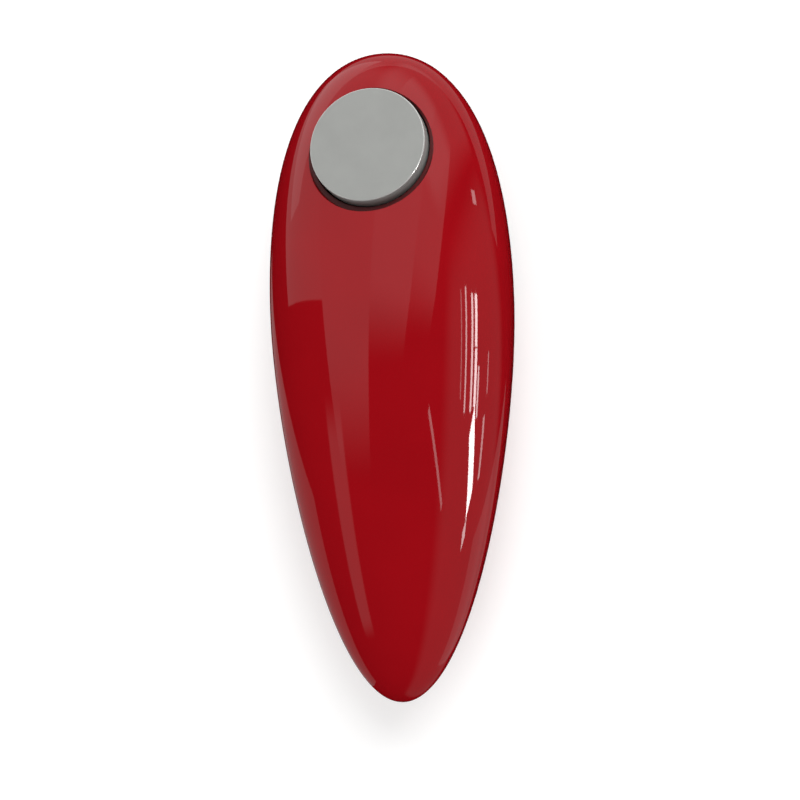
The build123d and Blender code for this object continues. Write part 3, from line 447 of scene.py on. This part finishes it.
def shade_as_egg(piece, upper):
    """Gives every corner on the egg's surface the egg's own normal, and the rest an angle split."""
    mesh = piece.data
    mesh.update()
    reading = bmesh.new()
    reading.from_mesh(mesh)
    reading.normal_update()
    sides = {vertex.index: egg_side(vertex.co, upper) for vertex in reading.verts}
    normals = {}
    for vertex in reading.verts:
        inset = sides[vertex.index]
        if inset is not None:
            rise = (CROWN if upper else BELLY) - inset
            normals[vertex.index] = egg_normal(vertex.co, rise, inset) * (1 if inset == 0 else -1)
    corner_normals = []
    for face in reading.faces:
        for vertex in face.verts:
            exact = normals.get(vertex.index)
            in_pocket = from_button(vertex.co)[0] < COLLAR_OUTSIDE
            in_seam = abs(vertex.co.z - SEAM) < SEAM_HALF_GAP * 1.2
            skin = upper and sides[vertex.index] == 0 and not in_pocket and not in_seam
            if exact is not None and (skin or exact.dot(face.normal) > SAME_SIDE):
                corner_normals.append(exact)
                continue
            mean = Vector()
            for other in vertex.link_faces:
                if other.normal.dot(face.normal) > SAME_FACE:
                    mean += other.normal * other.calc_area()
            corner_normals.append(mean.normalized() if mean.length > 0 else face.normal.copy())
    reading.free()
    mesh.normals_split_custom_set(corner_normals)


def make_shell_from_frame(node, body):
    """Copy of a packed shell with exact shading on its curved faces."""
    mesh = bmesh.new()
    mesh.from_mesh(frame["nodes"][node].data)
    bmesh.ops.remove_doubles(mesh, verts=mesh.verts, dist=1e-6)
    piece = new_piece(f"{node}_skin", mesh, body, RED)
    shade_as_egg(piece, False)
    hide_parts(node)
    return piece


def paint_pocket_shade(piece):
    """Gives the pocket's floor and the hole's wall an uncoated finish whose dark red is painted shade of
    the recess.
    """
    piece.data.materials.append(RECESS_PAINTED_SHADE)
    for polygon in piece.data.polygons:
        offset = polygon.center - BUTTON_SEAT
        radius, height = from_button(polygon.center)
        reach = pocket_reach(offset.x, offset.dot(BUTTON_UP))
        in_hole = radius < HOLE + 0.05 * MM
        in_pocket = reach < POCKET + 0.12 * MM and radius < 19 * MM
        # Faces low in the pocket and on the hole's wall get the painted shade.
        if in_hole or (in_pocket and height < LAND + 0.6 * MM):
            polygon.material_index = 1


upper_skin = make_upper_shell()
paint_pocket_shade(upper_skin)
shade_as_egg(upper_skin, True)
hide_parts("upper_shell")
make_shell_from_frame("lower_shell", "housing")
make_shell_from_frame("battery_cover", "cover")

# ---------------------------------------------------------------- button

FACE = 0.2 * MM
CAP = 15.1 * MM
SKIRT = 13.9 * MM
SKIRT_FOOT = -5 * MM
UNDER_FACE = FACE - 1.6 * MM
EDGE = 0.3 * MM
cap_profile = [(0, FACE), (CAP * 0.5, FACE), (CAP - EDGE * 1.6, FACE)]
for lean in [math.radians(step) for step in range(0, 91, 15)]:
    cap_profile.append((CAP - EDGE + EDGE * math.sin(lean), FACE - EDGE + EDGE * math.cos(lean)))
cap_profile += [(CAP, FACE - 1.2 * MM), (CAP, SKIRT_FOOT), (SKIRT, SKIRT_FOOT)]
cap_profile += [(SKIRT, UNDER_FACE), (0, UNDER_FACE)]
button_skin = lathe(
    "button_cap_skin", cap_profile, BUTTON_SEAT, BUTTON_AXIS, "button", SILVER, 144
)
# The rounded rim faces of the cap get the polished finish with its painted highlight.
button_skin.data.materials.append(EDGE_PAINTED_HIGHLIGHT)
for polygon in button_skin.data.polygons:
    radius, height = from_button(polygon.center)
    if radius > CAP - EDGE * 0.8 and height > FACE - EDGE * 0.6:
        polygon.material_index = 1
smooth_by_angle(button_skin, 40)
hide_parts("button_cap")

# ---------------------------------------------------------------- return spring

spring_data = frame["nodes"]["button_spring"].data.copy()
spring_skin = bpy.data.objects.new("button_spring_skin", spring_data)
bpy.context.scene.collection.objects.link(spring_skin)
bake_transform(spring_skin)
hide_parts("button_spring")

# ---------------------------------------------------------------- floor, light and camera

floor_mesh = bmesh.new()
bmesh.ops.create_grid(floor_mesh, x_segments=1, y_segments=1, size=4)
floor_data = bpy.data.meshes.new("floor")
floor_mesh.to_mesh(floor_data)
floor_mesh.free()
floor = bpy.data.objects.new("floor", floor_data)
bpy.context.scene.collection.objects.link(floor)
pale = surface("pale_floor", (0.76, 0.76, 0.755), 0.8, spread=0.01, patch=80, grain=20)
pale_shader = pale.node_tree.nodes["Principled BSDF"]
pale_shader.inputs["Emission Color"].default_value = (1, 1, 1, 1)
pale_shader.inputs["Emission Strength"].default_value = 0.3
floor_data.materials.append(pale)
floor.location.z = -0.1 * MM
floor.visible_glossy = False

ROLL = math.radians(14.8)
PITCH = math.radians(1.3)
SPIN = math.radians(-1.8)
DISTANCE = 0.46
FIELD = 0.2091
SENSOR = 36
outward = Vector(
    (math.sin(ROLL), -math.cos(ROLL) * math.sin(PITCH), math.cos(ROLL) * math.cos(PITCH))
)
right = Matrix.Rotation(SPIN, 3, outward) @ Vector((0, 1, 0)).cross(outward).normalized()
upward = outward.cross(right)
aim = Vector((0, 0, 30 * MM)) + right * 2.35 * MM - upward * 6.09 * MM

camera_data = bpy.data.cameras.new("camera")
camera = bpy.data.objects.new("camera", camera_data)
bpy.context.scene.collection.objects.link(camera)
bpy.context.scene.camera = camera
camera.matrix_world = Matrix((right, upward, outward)).transposed().to_4x4()
camera.location = aim + outward * DISTANCE
camera_data.sensor_width = SENSOR
camera_data.lens = SENSOR * DISTANCE / FIELD
camera_data.clip_start = 0.01

MIDDLE = (LOWEST + HIGHEST) / 2
WALL_REACH = 1.3
WALL_TILT = 46


def lamp(name, place, turn, width, height, radiance):
    """Rectangular studio light. Its power follows from the radiance wanted."""
    light = bpy.data.lights.new(name, "AREA")
    light.shape = "RECTANGLE"
    light.size, light.size_y = width, height
    light.energy = math.pi * width * height * radiance
    made = bpy.data.objects.new(name, light)
    bpy.context.scene.collection.objects.link(made)
    made.matrix_world = Matrix.Translation(place) @ turn.to_4x4()
    return made


def fade(made, across, along):
    """Dims a lamp towards its edges, over these shares of its half width and half height."""
    made.data.use_nodes = True
    nodes, links = made.data.node_tree.nodes, made.data.node_tree.links

    def maths(operation, first, second=None):
        """Result of a maths node on one socket and a socket or number."""
        node = nodes.new("ShaderNodeMath")
        node.operation = operation
        links.new(first, node.inputs[0])
        if isinstance(second, float):
            node.inputs[1].default_value = second
        elif second is not None:
            links.new(second, node.inputs[1])
        return node.outputs[0]

    split = nodes.new("ShaderNodeSeparateXYZ")
    links.new(nodes.new("ShaderNodeNewGeometry").outputs["Parametric"], split.inputs[0])
    levels = []
    for output, share in ((split.outputs[0], across), (split.outputs[1], along)):
        if not share:
            continue
        ramp = nodes.new("ShaderNodeMapRange")
        ramp.interpolation_type = "SMOOTHSTEP"
        links.new(maths("ABSOLUTE", maths("SUBTRACT", output, 0.5)), ramp.inputs["Value"])
        ramp.inputs["From Min"].default_value = 0.5 * (1 - share)
        ramp.inputs["From Max"].default_value = 0.5
        ramp.inputs["To Min"].default_value = 1
        ramp.inputs["To Max"].default_value = 0
        levels.append(ramp.outputs[0])
    level = levels[0] if len(levels) == 1 else maths("MULTIPLY", *levels)
    links.new(level, nodes["Emission"].inputs["Strength"])


def soft_light(name, place, size, radiance):
    """Large lamp that shapes the soft shading and isn't seen in the gloss."""
    turn = (MIDDLE - Vector(place)).to_track_quat("-Z", "Y").to_matrix()
    made = lamp(name, Vector(place), turn, size, size, radiance)
    made.visible_glossy = False


def facing(across, along):
    """Direction at degrees across and along from the camera's axis, and its sideways and upward."""
    reach, heading = math.radians(math.hypot(across, along)), math.atan2(along, across)
    sideways = right * math.cos(heading) + upward * math.sin(heading)
    towards = outward * math.cos(reach) + sideways * math.sin(reach)
    falling = sideways * math.cos(reach) - outward * math.sin(reach)
    round_about = upward * math.cos(heading) - right * math.sin(heading)
    base = falling * math.cos(heading) - round_about * math.sin(heading)
    return towards, base, towards.cross(base)


def panel(name, across, along, width, height, radiance, lean=0.0):
    """Card seen only in the gloss, centred on a direction. Sizes are in degrees."""
    towards, base, rise = facing(across, along)
    tilt = Matrix.Rotation(math.radians(lean), 3, towards)
    turn = tilt @ Matrix((base, rise, towards)).transposed()
    spans = [2 * math.tan(math.radians(span / 2)) for span in (width, height)]
    made = lamp(name, MIDDLE + towards, turn, *spans, radiance)
    made.visible_diffuse = False
    return made


def wall(name, across, along, width, height, radiance, lean=0.0):
    """Card seen only in the gloss that rises from an edge centred on a direction."""
    foot, base, rise = facing(across, along)
    tilt = Matrix.Rotation(math.radians(lean), 3, foot)
    base, rise = tilt @ base, tilt @ rise
    half_height = math.radians(height / 2)
    towards = foot * math.cos(half_height) + rise * math.sin(half_height)
    turn = Matrix((base, towards.cross(base), towards)).transposed()
    breadth = 2 * WALL_REACH * math.tan(math.radians(width / 2))
    tall = 2 * WALL_REACH * math.sin(half_height)
    place = MIDDLE + towards * WALL_REACH * math.cos(half_height)
    made = lamp(name, place, turn, breadth, tall, radiance)
    made.visible_diffuse = False
    return made


def column(name, left, right, low, high, radiance):
    """Part of the tall wall at the head side, seen only in the gloss, in shares of its distance."""
    foot, base, rise = facing(-45, 0)
    slope = math.radians(WALL_TILT)
    climb = rise * math.cos(slope) - foot * math.sin(slope)
    turn = Matrix((base, climb, base.cross(climb))).transposed()
    place = MIDDLE + (foot + base * (left + right) / 2 + climb * (low + high) / 2) * WALL_REACH
    size = ((right - left) * WALL_REACH, (high - low) * WALL_REACH)
    made = lamp(name, place, turn, *size, radiance)
    made.visible_diffuse = False
    return made


soft_light("key", (0.45, 0.75, 1.1), 0.8, 6.0)
column("head_wall_1", -1.3, -0.29, 0.11, 1.5, 0.6)
fade(column("head_wall_2", -0.29, 0.25, -0.55, 1.5, 0.56), 0, 0.5)
fade(column("head_wall_3", 0.25, 0.75, -0.1, 1.5, 0.68), 0, 0.4)
fade(column("head_wall_4", 0.75, 1.33, 0.0, 1.5, 0.58), 0, 0.5)
fade(wall("corner", 46, 30, 60, 70, 0.4, 28), 0.3, 0.4)
panel("horizon", 0, 110, 150, 36, 0.45)
fade(panel("right_room", 60, -40, 95, 120, 0.26), 0.4, 0.4)
fade(panel("low_wall", -56, -27, 14, 32, 0.48, 12), 0.25, 0.35)
panel("left_floor", -112, -62, 60, 40, 0.35, 20)
panel("right_floor", 95, -50, 50, 30, 0.35, -10)
panel("pane_1", 41, 0.5, 1.5, 17, 8)
panel("pane_2", 48, 4.6, 2.2, 8, 12)
panel("pane_3", 48, -4.4, 2.2, 8, 12)
panel("pane_4", 52.8, 4.6, 3, 8, 16)
panel("pane_5", 53, -4.4, 3, 7, 16)
panel("pane_6", 57, -6.5, 2, 6, 10)
panel("sill", 54, -16, 6, 12, 26, 30)
panel("sill_2", 53.5, -26, 4, 3, 8, 20)
panel("frame_line", 36, 1, 0.8, 15, 3)
panel("far_pane", 69, -15, 3, 7, 5)
panel("far_line", 72, -4, 1.5, 5, 4)
panel("slit", 15, -13.5, 1.2, 18, 2.6, 50)
panel("spot", 59, 29.5, 5, 3, 4, 10)

world = bpy.data.worlds.new("studio")
bpy.context.scene.world = world
world.use_nodes = True
sky = world.node_tree.nodes["Background"]
sky.inputs["Color"].default_value = (1, 1, 1, 1)
sky.inputs["Strength"].default_value = 0.8
world.cycles_visibility.glossy = False
bpy.context.scene.view_settings.view_transform = "Standard"
